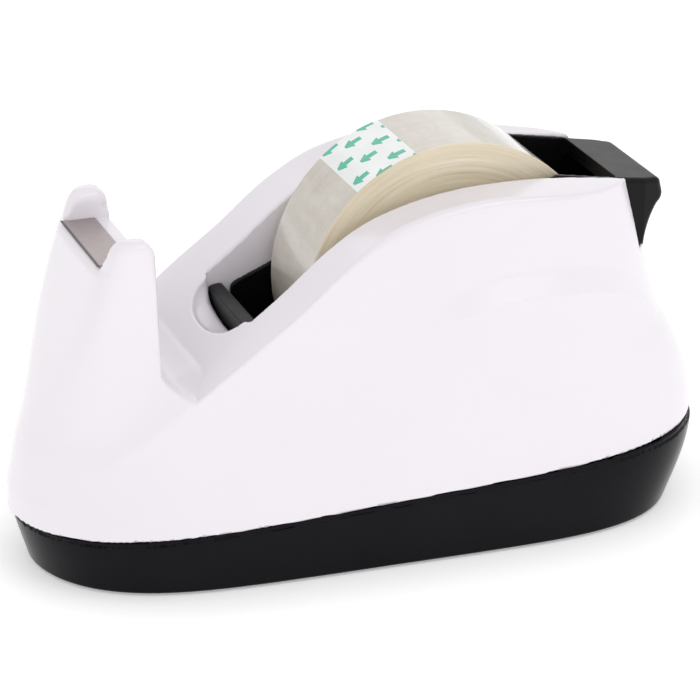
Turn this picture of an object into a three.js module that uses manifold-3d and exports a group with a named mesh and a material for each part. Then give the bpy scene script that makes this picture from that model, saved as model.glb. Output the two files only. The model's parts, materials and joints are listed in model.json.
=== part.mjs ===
// A desktop dispenser for wide packing tape: a weighted black base, a white upper shell with a cutting
// nose, a black cradle that carries the reel, and a reel that spins and lifts out.
// Millimetres. +X runs from the nose to the tail, +Z is up, and the origin is under the middle, on the desk.
import * as THREE from "three";
import { mergeVertices } from "three/addons/utils/BufferGeometryUtils.js";
import Module from "manifold-3d";

const wasm = await Module();
wasm.setup();

// ---- Driving dimensions -------------------------------------------------------------------------

const GAP = 0.3; // between pieces that touch

const tape = { width: 45, radius: 64.3, coreRadius: 41, bore: 38 };
const reel = { x: 34.5, z: 103.6 };
const label = { from: 104.8, to: 131.2, thickness: 0.3 }; // degrees up from +X round the reel axis

const body = {
  noseX: -150.3,
  tailX: 149,
  halfWidth: 60.6, // at the seam, and narrower above it
  tailFlare: 2.6, // how much wider than that the tail end is, and how much narrower the nose end
  topHalfWidth: 54.9,
  topHeight: 152,
  wall: 2.6,
  endPower: 4.46, // of the plan's superellipse: along X
  sidePower: 1.87, // and along Y
};
const seam = { z: 30.8, slope: 0.046 }; // the base is a wedge: the joint line climbs towards the tail
const base = { bottom: 1, noseX: -139.9, tailX: 133.7, halfWidth: 56.6, flare: 4.1, wall: 2.6, floor: 2.6 };
const reveal = { height: 2.1, depth: 0.9 }; // the dark line under the seam: the base's rim is set in a little

const nose = {
  frontTop: -118.4,
  landZ: 135.4, // what the blade rests on
  rearX: -98,
  uprightZ: 98,
  topHalfWidth: 37,
  rootHalfWidth: 46.5,
  rootZ: 85,
  earTop: 147,
  centreX: -60,
};
const blade = {
  halfWidth: 26.9,
  thickness: 0.8,
  frontX: -118.2, // of the roots of its teeth, measured along the bent-up strip
  foldX: -114.6,
  rearX: -103.5,
  tooth: 1.1,
  teeth: 36,
  tilt: 12,
};

const well = { halfWidth: 29.4, frontX: -56, rearX: 104.8, skirtZ: 58, skirt: 2.2 };
const scoop = { halfWidth: 25.2, frontX: -70.2, floorZ: 92.4, endPower: 2.1, sidePower: 2.4 }; // for a finger
const cheek = { outer: 28.8, inner: 26.2, frontX: -46, frontZ: 99.5, backX: 77, backZ: 151 };
const cradle = { floorZ: 34.8, floor: 2.6, barX: -55.6, barDepth: 5.8, barZ: 100.6, rearX: 100.7 };
const tail = { frontX: 103.9, frontZ: 146.4, rearX: 125.1, rearZ: 142.9, lipX: 127, lipZ: 135.4, rootZ: 115 };

const axle = { radius: 4, collarRadius: 7, slotClearance: 0.35 };
const hub = { rim: 3, web: 2.4, boss: 9 };
const ballast = { length: 150, width: 36, height: 12, x: 4, y: 27, z: 6 };
const foot = { radius: 7, thickness: 2, x: 98, y: 30 };
const caseScrew = { shank: 1.5, head: 3.4, headHeight: 2.2, seat: 9, frontX: -117, frontY: 30, rearX: 117, rearY: 36 };
const smallScrew = { shank: 1.4, head: 2.9, headHeight: 1.8, length: 9 };

const ROUND = 24; // sides of a small round
const HIDDEN_ROUND = 14; // of one inside the case
const REEL_ROUND = 48; // of the hub and core
const OUTLINE = 60; // sides of the plan outline

// ---- Materials ----------------------------------------------------------------------------------

function paint(color, roughness, metalness = 0) {
  return new THREE.MeshStandardMaterial({ color, roughness, metalness });
}
const white = paint(0xece7ed, 0.25);
const black = paint(0x1e1c22, 0.3);
const steel = paint(0xa9a49f, 0.35, 1);
const castIron = paint(0x4c4a48, 0.7, 1);
const zinc = paint(0xb4b4ac, 0.35, 1);
const rubber = paint(0x2a2a2c, 0.9);
const film = paint(0xd6cbb0, 0.2);
const cardboard = paint(0xb79a6c, 0.9);
const paper = paint(0xf2f4f1, 0.6);

// ---- Solids -------------------------------------------------------------------------------------

/** A closed three.js geometry as a solid that can be joined and cut. */
function solid(geometry) {
  const bare = geometry.clone();
  bare.deleteAttribute("normal");
  bare.deleteAttribute("uv");
  const merged = mergeVertices(bare, 1e-4);
  return new wasm.Manifold(
    new wasm.Mesh({
      numProp: 3,
      vertProperties: new Float32Array(merged.attributes.position.array),
      triVerts: new Uint32Array(merged.index.array),
    }),
  );
}

/** The solid as a named mesh. */
function piece(name, made, material) {
  const data = made.getMesh();
  const geometry = new THREE.BufferGeometry();
  geometry.setAttribute("position", new THREE.BufferAttribute(new Float32Array(data.vertProperties), 3));
  geometry.setIndex(new THREE.BufferAttribute(new Uint32Array(data.triVerts), 1));
  geometry.computeVertexNormals();
  const mesh = new THREE.Mesh(geometry, material);
  mesh.name = name;
  return mesh;
}

function joined(...solids) {
  return solids.reduce((all, one) => all.add(one));
}

/** A box between two corners. */
function box(x0, y0, z0, x1, y1, z1) {
  const geometry = new THREE.BoxGeometry(x1 - x0, y1 - y0, z1 - z0);
  return solid(geometry.translate((x0 + x1) / 2, (y0 + y1) / 2, (z0 + z1) / 2));
}

/** An upright round bar from z0 to z1. */
function post(x, y, z0, z1, radius, sides = ROUND) {
  const geometry = new THREE.CylinderGeometry(radius, radius, z1 - z0, sides);
  return solid(geometry.rotateX(Math.PI / 2).translate(x, y, (z0 + z1) / 2));
}

/** A side-view outline in X and Z, extruded across Y from -halfWidth to halfWidth. */
function sideExtrusion(shape, halfWidth) {
  const geometry = new THREE.ExtrudeGeometry(shape, { depth: 2 * halfWidth, bevelEnabled: false });
  return solid(geometry.rotateX(Math.PI / 2).translate(0, halfWidth, 0));
}

/** A plan outline in X and Y, extruded up from z0 to z1. */
function planExtrusion(shape, z0, z1) {
  const geometry = new THREE.ExtrudeGeometry(shape, { depth: z1 - z0, bevelEnabled: false });
  return solid(geometry.translate(0, 0, z0));
}

/** A profile of [radius, along] points turned about a line along Y through (x, z). */
function turned(profile, x, z, sides) {
  const points = profile.map(([radius, along]) => new THREE.Vector2(radius, along));
  return solid(new THREE.LatheGeometry(points, sides).translate(x, 0, z));
}

function shapeOf(points) {
  return new THREE.Shape(points.map(([x, y]) => new THREE.Vector2(x, y)));
}

/** 0 before from, 1 after to, and an S between them. */
function ease(value, from, to) {
  return THREE.MathUtils.smoothstep(value, from, to);
}

/** A superellipse's coordinate from a circle's. */
function rounded(value, power) {
  return Math.abs(value) < 1e-9 ? 0 : Math.sign(value) * Math.abs(value) ** (2 / power);
}

/** Stacks plan outlines from z0 to z1: plan(z) says each outline's ends, half width, flare and powers. */
function loft(z0, z1, levels, plan) {
  const geometry = new THREE.CylinderGeometry(1, 1, 1, OUTLINE, levels);
  const at = geometry.attributes.position;
  for (let i = 0; i < at.count; i++) {
    const z = z0 + (z1 - z0) * (at.getY(i) + 0.5);
    const { noseX, tailX, halfWidth, flare, endPower, sidePower, bulge } = plan(z);
    const radius = Math.hypot(at.getX(i), at.getZ(i)) < 0.5 ? 0 : 1;
    const along = radius * rounded(at.getX(i), endPower);
    const across = radius * rounded(at.getZ(i), sidePower);
    const x = (noseX + tailX) / 2 + (along * (tailX - noseX)) / 2;
    const wide = halfWidth + flare * along + (bulge ? bulge(x, z) : 0);
    at.setXYZ(i, x, -across * wide, z);
  }
  return solid(geometry);
}

function seamZ(x) {
  return seam.z + seam.slope * x;
}

// ---- The white shell's form ---------------------------------------------------------------------

/** The front of the nose, from the seam up: it leans back. */
function frontX(z) {
  const lean = (nose.frontTop - body.noseX) * Math.max(0, (z - 34) / (nose.landZ - 34)) ** 1.1;
  return body.noseX + lean;
}

/** Reads a list of [at, value] points at one place, in straight steps. */
function readLine(points, at) {
  const next = points.findIndex(([start]) => start > at);
  if (next < 1) return next === 0 ? points[0][1] : points.at(-1)[1];
  const [[a, from], [b, to]] = points.slice(next - 1, next + 1);
  return THREE.MathUtils.mapLinear(at, a, b, from, to);
}

const HIP_LINE = [
  [0, 99],
  [18, 104.3],
  [30, 107],
  [46, 109.9],
  [62, 110.1],
  [84, 107.3],
  [101, 101.7],
  [112, 95],
  [127, 84],
];

const REAR_LINE = [
  [20, 149],
  [48, 148.3],
  [56, 146.5],
  [65, 143.3],
  [75, 138.4],
  [85, 133],
  [98, 128.7],
  [118, 124.8],
  [145, 117.6],
  [165, 112.2],
];

/** The tail end: the lower half bulges, and the upper half is drawn in. */
function rearX(z) {
  return readLine(REAR_LINE, z) - 149 + body.tailX;
}

/** The hip: the rear flank stands proud up to a crease, with a ledge above it that leads in. */
function hip(x, z) {
  const above = THREE.MathUtils.clamp((z - readLine(HIP_LINE, x)) / 10.5, 0, 1);
  return ease(x, -5, 45) * (1.6 * ease(z, 50, 90) - 3.4 * above);
}

function bodyPlan(inset) {
  return (z) => {
    const height = (z - seam.z) / (body.topHeight - seam.z);
    const taper = height * (2 - height);
    return {
      noseX: frontX(z) + inset,
      tailX: rearX(z) - inset,
      halfWidth: THREE.MathUtils.lerp(body.halfWidth, body.topHalfWidth, taper) - inset,
      flare: body.tailFlare * (1 - ease(z, 40, 110)),
      endPower: body.endPower,
      sidePower: body.sidePower,
      bulge: hip,
    };
  };
}

function nosePlan(inset) {
  return (z) => {
    const drop = Math.min(1, Math.max(0, (150 - z) / (150 - nose.rootZ))) ** 1.8;
    const square = ease(z, 60, 138);
    return {
      noseX: frontX(z) + inset,
      tailX: 2 * nose.centreX - frontX(z),
      halfWidth: nose.topHalfWidth + (nose.rootHalfWidth - nose.topHalfWidth) * drop - inset,
      flare: 0,
      endPower: THREE.MathUtils.lerp(body.endPower, 12, square),
      sidePower: THREE.MathUtils.lerp(2, 8, square),
    };
  };
}

/** The line of the top, from the foot of the nose up the ramp and over the reel. */
const TOP_LINE = new THREE.SplineCurve(
  [
    [-165, 28],
    [-136, 46],
    [-108, 66],
    [-84, 85.2],
    [-60, 103.4],
    [-43, 116.4],
    [-26, 130],
    [-9.5, 140.5],
    [9.5, 147.2],
    [30, 151],
    [55, body.topHeight],
    [95, 148.6],
    [130, 142.5],
  ].map(([x, z]) => new THREE.Vector2(x, z)),
);

/** The side view of the body, lowered by drop to make the hollow. */
function bodySide(drop) {
  const top = TOP_LINE.getSpacedPoints(30).map((p) => [p.x, p.y - drop]);
  const bottom = drop ? -5 : GAP / 2;
  return shapeOf([[-165, seamZ(-165) + bottom], ...top, [160, 139 - drop], [160, seamZ(160) + bottom]]);
}

/** The side view of the nose: its rounded ears on top, its upright back and the fillet into the ramp. */
function noseSide() {
  const shape = new THREE.Shape();
  shape.moveTo(-165, 32);
  shape.lineTo(-165, nose.landZ - 5.2);
  shape.lineTo(nose.frontTop, nose.landZ);
  shape.bezierCurveTo(nose.frontTop + 1.8, 142.5, -112.5, nose.earTop, -106, nose.earTop);
  shape.bezierCurveTo(-101, nose.earTop, nose.rearX, 144.5, nose.rearX, 139);
  shape.lineTo(nose.rearX, nose.uprightZ);
  shape.bezierCurveTo(nose.rearX, 90, -92, 84, -84, 84);
  shape.lineTo(-77, 84);
  shape.lineTo(-77, 60);
  shape.closePath();
  return new THREE.Shape(shape.getPoints(7).slice(0, -1));
}

function noseHollowSide(wall) {
  return shapeOf([
    [-165, 20],
    [-165, nose.landZ - 2 * wall],
    [nose.rearX - 3, nose.landZ - 2 * wall],
    [nose.rearX - wall, nose.uprightZ],
    [nose.rearX - wall + 1, 86],
    [-80, 76],
    [-80, 20],
  ]);
}

/** The well, or its skirt when grow is more than 0: a straight-sided shaft from z0 up. */
function wellShaft(grow, z0) {
  const halfWidth = well.halfWidth + grow;
  return box(well.frontX - grow, -halfWidth, z0, well.rearX + grow, halfWidth, 170);
}

/** The finger scoop in front of the well: half of a superellipse in plan, with a sloping floor. */
function scoopCut(grow) {
  const depth = well.frontX - scoop.frontX + grow;
  const outline = [];
  for (let i = 0; i <= 14; i++) {
    const angle = Math.PI / 2 + (Math.PI * i) / 14;
    const x = well.frontX + depth * rounded(Math.cos(angle), scoop.endPower);
    outline.push([x, (scoop.halfWidth + grow) * rounded(Math.sin(angle), scoop.sidePower)]);
  }
  outline.push([well.frontX + 2, -scoop.halfWidth - grow], [well.frontX + 2, scoop.halfWidth + grow]);
  const shaft = planExtrusion(shapeOf(outline), 70, 170);
  const floor = scoop.floorZ - grow;
  return shaft.intersect(
    sideExtrusion(shapeOf([[-90, floor + 5], [-40, floor - 2.4], [-40, 170], [-90, 170]]), 60),
  );
}

// ---- Screws -------------------------------------------------------------------------------------

/** Where the four case screws are, as [x, y]. */
const CASE_SCREWS = [
  [caseScrew.frontX, caseScrew.frontY],
  [caseScrew.frontX, -caseScrew.frontY],
  [caseScrew.rearX, caseScrew.rearY],
  [caseScrew.rearX, -caseScrew.rearY],
];
/** Where the four cradle screws are, and the two in each ballast bar. */
const CRADLE_SCREWS = [-38, 88].flatMap((x) => [14, -14].map((y) => [x, y]));
const BALLAST_SCREWS = [1, -1].flatMap((side) =>
  [-60, 60].map((x) => [ballast.x + x, side * ballast.y]),
);

/** Where the four rubber feet are. */
const FEET = [foot.x, -foot.x].flatMap((x) => [foot.y, -foot.y].map((y) => [x, y]));

/** A pan-head screw with a cross recess: its head is below headZ when down is -1, and above it when 1. */
function screw(x, y, headZ, length, size, down) {
  const shankEnd = headZ - down * length;
  const shankStart = headZ + down * 0.5; // inside the head, so that the two join
  const headEnd = headZ + down * size.headHeight;
  const shank = post(x, y, Math.min(shankStart, shankEnd), Math.max(shankStart, shankEnd), size.shank, 10);
  const head = post(x, y, Math.min(headZ, headEnd), Math.max(headZ, headEnd), size.head, 16);
  const arm = size.head * 0.62;
  const slot = size.head * 0.14;
  const deep = [headEnd - down * size.headHeight * 0.55, headEnd + down].sort((a, b) => a - b);
  const cross = joined(
    box(x - arm, y - slot, deep[0], x + arm, y + slot, deep[1]),
    box(x - slot, y - arm, deep[0], x + slot, y + arm, deep[1]),
  );
  return joined(shank, head).subtract(cross);
}

// ---- The pieces ---------------------------------------------------------------------------------

function makeUpperShell() {
  const bodyOuter = loft(15, 160, 22, bodyPlan(0)).intersect(sideExtrusion(bodySide(0), 80));
  const noseOuter = loft(28, 156, 14, nosePlan(0)).intersect(sideExtrusion(noseSide(), 60));
  const outer = bodyOuter.add(noseOuter);
  const bodyInner = loft(10, 160, 8, bodyPlan(body.wall)).intersect(sideExtrusion(bodySide(3.4), 80));
  const noseInner = loft(20, 156, 6, nosePlan(body.wall)).intersect(
    sideExtrusion(noseHollowSide(body.wall), 60),
  );
  const skirt = wellShaft(well.skirt, well.skirtZ).add(scoopCut(body.wall));
  const rearPosts = [1, -1].map((side) =>
    box(caseScrew.rearX - 3, side * 43 - 5.5, 20, caseScrew.rearX + 3, side * 43 + 5.5, 60),
  );
  const frontPosts = [1, -1].map((side) =>
    box(caseScrew.frontX - 2, side * 36 - 6, 20, caseScrew.frontX + 2, side * 36 + 6, 60),
  );
  const posts = joined(
    ...CASE_SCREWS.map(([x, y]) => post(x, y, 20, 60, 4.6, HIDDEN_ROUND)),
    ...rearPosts,
    ...frontPosts,
  );
  const hollow = bodyInner.add(noseInner).subtract(skirt).subtract(posts);
  const wellHole = wellShaft(0, 10).add(scoopCut(0));
  const tailNotch = box(
    well.rearX - 10, -cheek.outer - GAP, tail.rootZ - GAP, 140, cheek.outer + GAP, 170,
  );
  const bladeLand = box(-130, -blade.halfWidth - GAP, nose.landZ - 0.1, -90, blade.halfWidth + GAP, 160);
  const bladeSlot = box(
    blade.rearX - 1.4, -blade.halfWidth - GAP, nose.landZ - 4.6, blade.rearX + GAP,
    blade.halfWidth + GAP, nose.landZ + 1,
  );
  const screwHoles = joined(...CASE_SCREWS.map(([x, y]) => post(x, y, 10, 52, caseScrew.shank + GAP, 10)));
  const belowSeam = sideExtrusion(
    shapeOf([
      [-170, -20],
      [170, -20],
      [170, seamZ(170) + GAP / 2],
      [-170, seamZ(-170) + GAP / 2],
    ]),
    90,
  );
  return outer
    .subtract(hollow)
    .subtract(wellHole)
    .subtract(tailNotch)
    .subtract(bladeLand)
    .subtract(bladeSlot)
    .subtract(screwHoles)
    .subtract(belowSeam);
}

function basePlan(inset) {
  return (z) => {
    const up = ease(z, -12, 36) ** 0.8;
    return {
      noseX: THREE.MathUtils.lerp(base.noseX, body.noseX, up) + inset,
      tailX: THREE.MathUtils.lerp(base.tailX, body.tailX, up) - inset,
      halfWidth: THREE.MathUtils.lerp(base.halfWidth, body.halfWidth, up) - inset,
      flare: THREE.MathUtils.lerp(base.flare, body.tailFlare, up),
      endPower: 5,
      sidePower: 1.9,
    };
  };
}

/** Everything above the seam, lowered by drop. */
function aboveSeam(drop) {
  return sideExtrusion(
    shapeOf([
      [-165, seamZ(-165) - drop],
      [-165, 90],
      [165, 90],
      [165, seamZ(165) - drop],
    ]),
    90,
  );
}

function makeBaseShell() {
  const inside = base.bottom + base.floor;
  const rim = loft(15, 45, 3, basePlan(reveal.depth)).subtract(aboveSeam(GAP / 2));
  const outer = loft(base.bottom, 45, 4, basePlan(0)).subtract(aboveSeam(reveal.height)).add(rim);
  const columns = joined(...CASE_SCREWS.map(([x, y]) => post(x, y, 0, 60, 5.8, HIDDEN_ROUND)));
  const bosses = joined(
    ...BALLAST_SCREWS.map(([x, y]) => post(x, y, 0, ballast.z - GAP, 4.4, HIDDEN_ROUND)),
    ...CRADLE_SCREWS.map(([x, y]) => post(x, y, 0, cradle.floorZ - GAP, 4.4, HIDDEN_ROUND)),
  );
  const hollow = loft(inside, 60, 3, basePlan(base.wall)).subtract(columns).subtract(bosses);
  const caseHoles = joined(
    ...CASE_SCREWS.map(([x, y]) => post(x, y, -5, 60, caseScrew.shank + GAP, 10)),
    ...CASE_SCREWS.map(([x, y]) => post(x, y, -5, caseScrew.seat, caseScrew.head + 0.6)),
  );
  const tapped = joined(
    ...BALLAST_SCREWS.map(([x, y]) => post(x, y, 2.2, 40, smallScrew.shank + GAP, 10)),
    ...CRADLE_SCREWS.map(([x, y]) => post(x, y, 20, 60, smallScrew.shank + GAP, 10)),
  );
  const footPockets = joined(
    ...FEET.map(([x, y]) => post(x, y, -5, foot.thickness + GAP, foot.radius + GAP)),
  );
  return outer.subtract(hollow).subtract(caseHoles).subtract(tapped).subtract(footPockets);
}

/** The tail's side view: a sloping thumb plate, a blunt lip and a hollow finger grip under it. */
function tailSide() {
  const shape = new THREE.Shape();
  shape.moveTo(tail.frontX, tail.frontZ);
  shape.lineTo(tail.rearX - 2, tail.rearZ + 0.4);
  shape.quadraticCurveTo(tail.rearX, tail.rearZ, tail.rearX + 0.6, tail.rearZ - 2);
  shape.lineTo(tail.lipX, tail.lipZ + 1);
  shape.quadraticCurveTo(tail.lipX + 0.2, tail.lipZ - 2, tail.lipX - 2.4, tail.lipZ - 3.4);
  shape.quadraticCurveTo(119.4, 126, 117.6, tail.rootZ + 3);
  shape.lineTo(117.6, tail.rootZ);
  shape.lineTo(cradle.rearX, tail.rootZ);
  shape.lineTo(cradle.rearX, tail.rootZ + 3);
  shape.lineTo(tail.frontX, tail.rootZ + 3);
  shape.closePath();
  return new THREE.Shape(shape.getPoints(6).slice(0, -1));
}

function cheekSide() {
  const rise = (cheek.backZ - cheek.frontZ) / (cheek.backX - cheek.frontX);
  return shapeOf([
    [cradle.barX + 1, cradle.floorZ],
    [cradle.barX + 1, 91],
    [cheek.frontX, 91],
    [cheek.frontX, cheek.frontZ - 2],
    [cheek.frontX + 2, cheek.frontZ + 2 * rise],
    [cheek.backX, cheek.backZ],
    [tail.frontX, tail.frontZ],
    [tail.frontX, cradle.floorZ],
  ]);
}

function makeInnerFrame() {
  const channel = sideExtrusion(cheekSide(), cheek.outer);
  const inside = box(
    cradle.barX + cradle.barDepth, -cheek.inner, cradle.floorZ + cradle.floor,
    cradle.rearX, cheek.inner, 170,
  ).add(box(50, -cheek.inner, tail.rootZ + 3, tail.frontX, cheek.inner, 170));
  const bar = sideExtrusion(
    shapeOf([
      [cradle.barX, cradle.floorZ],
      [cradle.barX + cradle.barDepth, cradle.floorZ],
      [cradle.barX + cradle.barDepth, cradle.barZ + 0.9],
      [cradle.barX, cradle.barZ - 0.7],
    ]),
    28,
  );
  const taper = shapeOf([
    [cradle.rearX - 1, -cheek.outer],
    [117, -cheek.outer + 1.2],
    [140, -20],
    [140, 20],
    [117, cheek.outer - 1.2],
    [cradle.rearX - 1, cheek.outer],
  ]);
  const tailBlock = sideExtrusion(tailSide(), cheek.outer).intersect(planExtrusion(taper, 100, 170));
  const slotRadius = axle.radius + axle.slotClearance;
  const slot = joined(
    box(reel.x - slotRadius, -40, reel.z, reel.x + slotRadius, 40, 170),
    turned([[0, -40], [slotRadius, -40], [slotRadius, 40], [0, 40]], reel.x, reel.z, ROUND),
  );
  const screwHoles = joined(
    ...CRADLE_SCREWS.map(([x, y]) => post(x, y, 20, 45, smallScrew.shank + GAP, 10)),
  );
  return channel.subtract(inside).add(bar).add(tailBlock).subtract(slot).subtract(screwHoles);
}

function makeBlade() {
  const z = nose.landZ + 0.2;
  const top = z + blade.thickness;
  const plate = box(blade.foldX, -blade.halfWidth, z, blade.rearX, blade.halfWidth, top);
  const flange = box(
    blade.rearX - blade.thickness, -blade.halfWidth, nose.landZ - 4, blade.rearX, blade.halfWidth, top,
  );
  const pitch = (2 * blade.halfWidth) / blade.teeth;
  const edge = blade.frontX - blade.foldX; // along X from the fold to the roots of the teeth
  const outline = [
    [0.4, -blade.halfWidth],
    [0.4, blade.halfWidth],
  ];
  for (let i = 0; i < blade.teeth; i++) {
    const y = blade.halfWidth - i * pitch;
    outline.push([edge + blade.tooth, y], [edge, y - pitch / 2]);
  }
  outline.push([edge + blade.tooth, -blade.halfWidth]);
  const strip = new THREE.ExtrudeGeometry(shapeOf(outline), { depth: blade.thickness, bevelEnabled: false });
  strip.rotateY(THREE.MathUtils.degToRad(blade.tilt)).translate(blade.foldX, 0, z);
  return joined(plate, flange, solid(strip));
}

function makeBallast(side) {
  const bar = box(
    ballast.x - ballast.length / 2, side * ballast.y - ballast.width / 2, ballast.z,
    ballast.x + ballast.length / 2, side * ballast.y + ballast.width / 2, ballast.z + ballast.height,
  );
  const holes = joined(
    ...BALLAST_SCREWS.filter(([, y]) => y * side > 0).map(([x, y]) => post(x, y, 0, 40, 1.9, 10)),
  );
  const cradleRoom = joined(...CRADLE_SCREWS.map(([x, y]) => post(x, y, 0, 40, 4.8, HIDDEN_ROUND)));
  return bar.subtract(holes).subtract(cradleRoom);
}

/** One half of the reel's core plug: a rim inside the tape's core, a web with round windows, and a boss. */
function makeHubHalf(side) {
  const rim = tape.bore - GAP;
  const bore = axle.radius + 0.25;
  const end = tape.width / 2 + 1;
  const profile = [
    [bore, 0.2],
    [rim, 0.2],
    [rim, end - 1.2],
    [rim - 1.2, end],
    [rim - hub.rim, end],
    [rim - hub.rim, 8 + hub.web],
    [hub.boss, 8 + hub.web],
    [hub.boss, end],
    [bore, end],
    [bore, 0.2],
  ].map(([radius, along]) => [radius, side * along]);
  const ordered = side > 0 ? profile : profile.reverse();
  const recess = turned(
    [
      [hub.boss, side > 0 ? -1 : -8],
      [rim - hub.rim, side > 0 ? -1 : -8],
      [rim - hub.rim, side > 0 ? 8 : 1],
      [hub.boss, side > 0 ? 8 : 1],
      [hub.boss, side > 0 ? -1 : -8],
    ],
    reel.x,
    reel.z,
    REEL_ROUND,
  );
  const windows = Array.from({ length: 6 }, (_, i) => {
    const angle = (i * Math.PI) / 3;
    const x = reel.x + 21.5 * Math.cos(angle);
    const z = reel.z + 21.5 * Math.sin(angle);
    return turned([[0, -40], [7, -40], [7, 40], [0, 40]], x, z, HIDDEN_ROUND);
  });
  return turned(ordered, reel.x, reel.z, REEL_ROUND).subtract(recess).subtract(joined(...windows));
}

function ring(inner, outer, halfWidth, sides) {
  const profile = [
    [inner, -halfWidth],
    [outer, -halfWidth],
    [outer, halfWidth],
    [inner, halfWidth],
    [inner, -halfWidth],
  ];
  return turned(profile, reel.x, reel.z, sides);
}

function makeAxle() {
  const end = cheek.outer - 0.2;
  const collar = tape.width / 2 + 1.4;
  return turned(
    [
      [0, -end],
      [axle.radius, -end],
      [axle.radius, -collar - 1.6],
      [axle.collarRadius, -collar - 1.6],
      [axle.collarRadius, -collar],
      [axle.radius, -collar],
      [axle.radius, collar],
      [axle.collarRadius, collar],
      [axle.collarRadius, collar + 1.6],
      [axle.radius, collar + 1.6],
      [axle.radius, end],
      [0, end],
    ],
    reel.x,
    reel.z,
    ROUND,
  );
}

/** The printed start tab that lies round the outside of the roll. */
function makeLabel() {
  const inner = tape.radius + 0.15;
  const outer = inner + label.thickness;
  const from = THREE.MathUtils.degToRad(label.from);
  const to = THREE.MathUtils.degToRad(label.to);
  const shape = new THREE.Shape();
  shape.absarc(reel.x, reel.z, outer, from, to, false);
  shape.absarc(reel.x, reel.z, inner, to, from, true);
  return sideExtrusion(new THREE.Shape(shape.getPoints(8)), tape.width / 2);
}

// ---- The assembly -------------------------------------------------------------------------------

const dispenser = new THREE.Group();
dispenser.add(
  piece("base_shell", makeBaseShell(), black),
  piece("upper_shell", makeUpperShell(), white),
  piece("inner_frame", makeInnerFrame(), black),
  piece("cutting_blade", makeBlade(), steel),
  piece("ballast_left", makeBallast(-1), castIron),
  piece("ballast_right", makeBallast(1), castIron),
  piece("reel_axle", makeAxle(), steel),
  piece("hub_half_left", makeHubHalf(-1), white),
  piece("hub_half_right", makeHubHalf(1), white),
  piece("tape_core", ring(tape.bore, tape.coreRadius - GAP, tape.width / 2, REEL_ROUND), cardboard),
  piece("tape_roll", ring(tape.coreRadius, tape.radius, tape.width / 2, 96), film),
  piece("start_label", makeLabel(), paper),
);
FEET.forEach(([x, y], i) => {
  dispenser.add(piece(`rubber_foot_${i + 1}`, post(x, y, 0, foot.thickness, foot.radius), rubber));
});
CASE_SCREWS.forEach(([x, y], i) => {
  const length = seamZ(x) + 15 - caseScrew.seat;
  dispenser.add(piece(`case_screw_${i + 1}`, screw(x, y, caseScrew.seat - GAP, length, caseScrew, -1), zinc));
});
BALLAST_SCREWS.forEach(([x, y], i) => {
  const seat = ballast.z + ballast.height + GAP;
  dispenser.add(piece(`ballast_screw_${i + 1}`, screw(x, y, seat, ballast.height + 3, smallScrew, 1), zinc));
});
CRADLE_SCREWS.forEach(([x, y], i) => {
  const seat = cradle.floorZ + cradle.floor + GAP;
  dispenser.add(piece(`frame_screw_${i + 1}`, screw(x, y, seat, smallScrew.length, smallScrew, 1), zinc));
});

export default dispenser;
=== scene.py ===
"""The looks of a desktop packing-tape dispenser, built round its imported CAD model.

Lengths in the shape functions are millimetres in the CAD frame: +X from the cutting nose to the tail, +Z up.
Each moulding is a signed distance field, negative inside, that is meshed where it is zero.
"""

import json
import math

import bmesh
import bpy
import numpy as np
import openvdb
from mathutils import Matrix, Vector


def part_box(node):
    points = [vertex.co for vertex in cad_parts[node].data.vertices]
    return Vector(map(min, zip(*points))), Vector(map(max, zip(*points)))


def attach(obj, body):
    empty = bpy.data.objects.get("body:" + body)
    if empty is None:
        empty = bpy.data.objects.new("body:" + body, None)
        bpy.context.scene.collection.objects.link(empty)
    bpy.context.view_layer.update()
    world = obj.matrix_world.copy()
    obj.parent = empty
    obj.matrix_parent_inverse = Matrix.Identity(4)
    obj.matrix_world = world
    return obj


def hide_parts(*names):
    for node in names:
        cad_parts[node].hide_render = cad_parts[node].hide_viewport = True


MM = 0.001

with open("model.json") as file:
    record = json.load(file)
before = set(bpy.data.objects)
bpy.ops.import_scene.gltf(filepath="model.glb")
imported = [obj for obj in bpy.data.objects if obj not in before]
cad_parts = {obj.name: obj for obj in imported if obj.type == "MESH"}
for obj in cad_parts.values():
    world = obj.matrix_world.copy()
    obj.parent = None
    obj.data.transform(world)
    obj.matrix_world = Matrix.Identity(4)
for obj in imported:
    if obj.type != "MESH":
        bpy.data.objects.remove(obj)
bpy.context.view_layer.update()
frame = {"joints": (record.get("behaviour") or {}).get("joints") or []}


# ---- Sizes taken from the frame -------------------------------------------------------------------


def box_mm(node):
    """A CAD node's lowest and highest corner, in millimetres."""
    low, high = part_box(node)
    return np.array(low) / MM, np.array(high) / MM


SHELL_LOW, SHELL_HIGH = box_mm("upper_shell")
BASE_LOW, BASE_HIGH = box_mm("base_shell")
FRAME_LOW, FRAME_HIGH = box_mm("inner_frame")
ROLL_LOW, ROLL_HIGH = box_mm("tape_roll")
CORE_LOW, CORE_HIGH = box_mm("tape_core")
BLADE_LOW, BLADE_HIGH = box_mm("cutting_blade")
AXLE_LOW, AXLE_HIGH = box_mm("reel_axle")

NOSE_X, TAIL_X = SHELL_LOW[0], SHELL_HIGH[0]
SPIN = next(j for j in frame["joints"] if j["name"] == "reel_spin")
REEL_X, _, REEL_Z = (c / MM for c in SPIN["pos_m"])
TAPE_HALF = ROLL_HIGH[1]
TAPE_RADIUS = ROLL_HIGH[0] - REEL_X
CORE_RADIUS = CORE_HIGH[0] - REEL_X
CORE_BORE = CORE_RADIUS - 2.7
CHEEK_OUTER = FRAME_HIGH[1]

# ---- Sizes of the mouldings -----------------------------------------------------------------------

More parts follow.
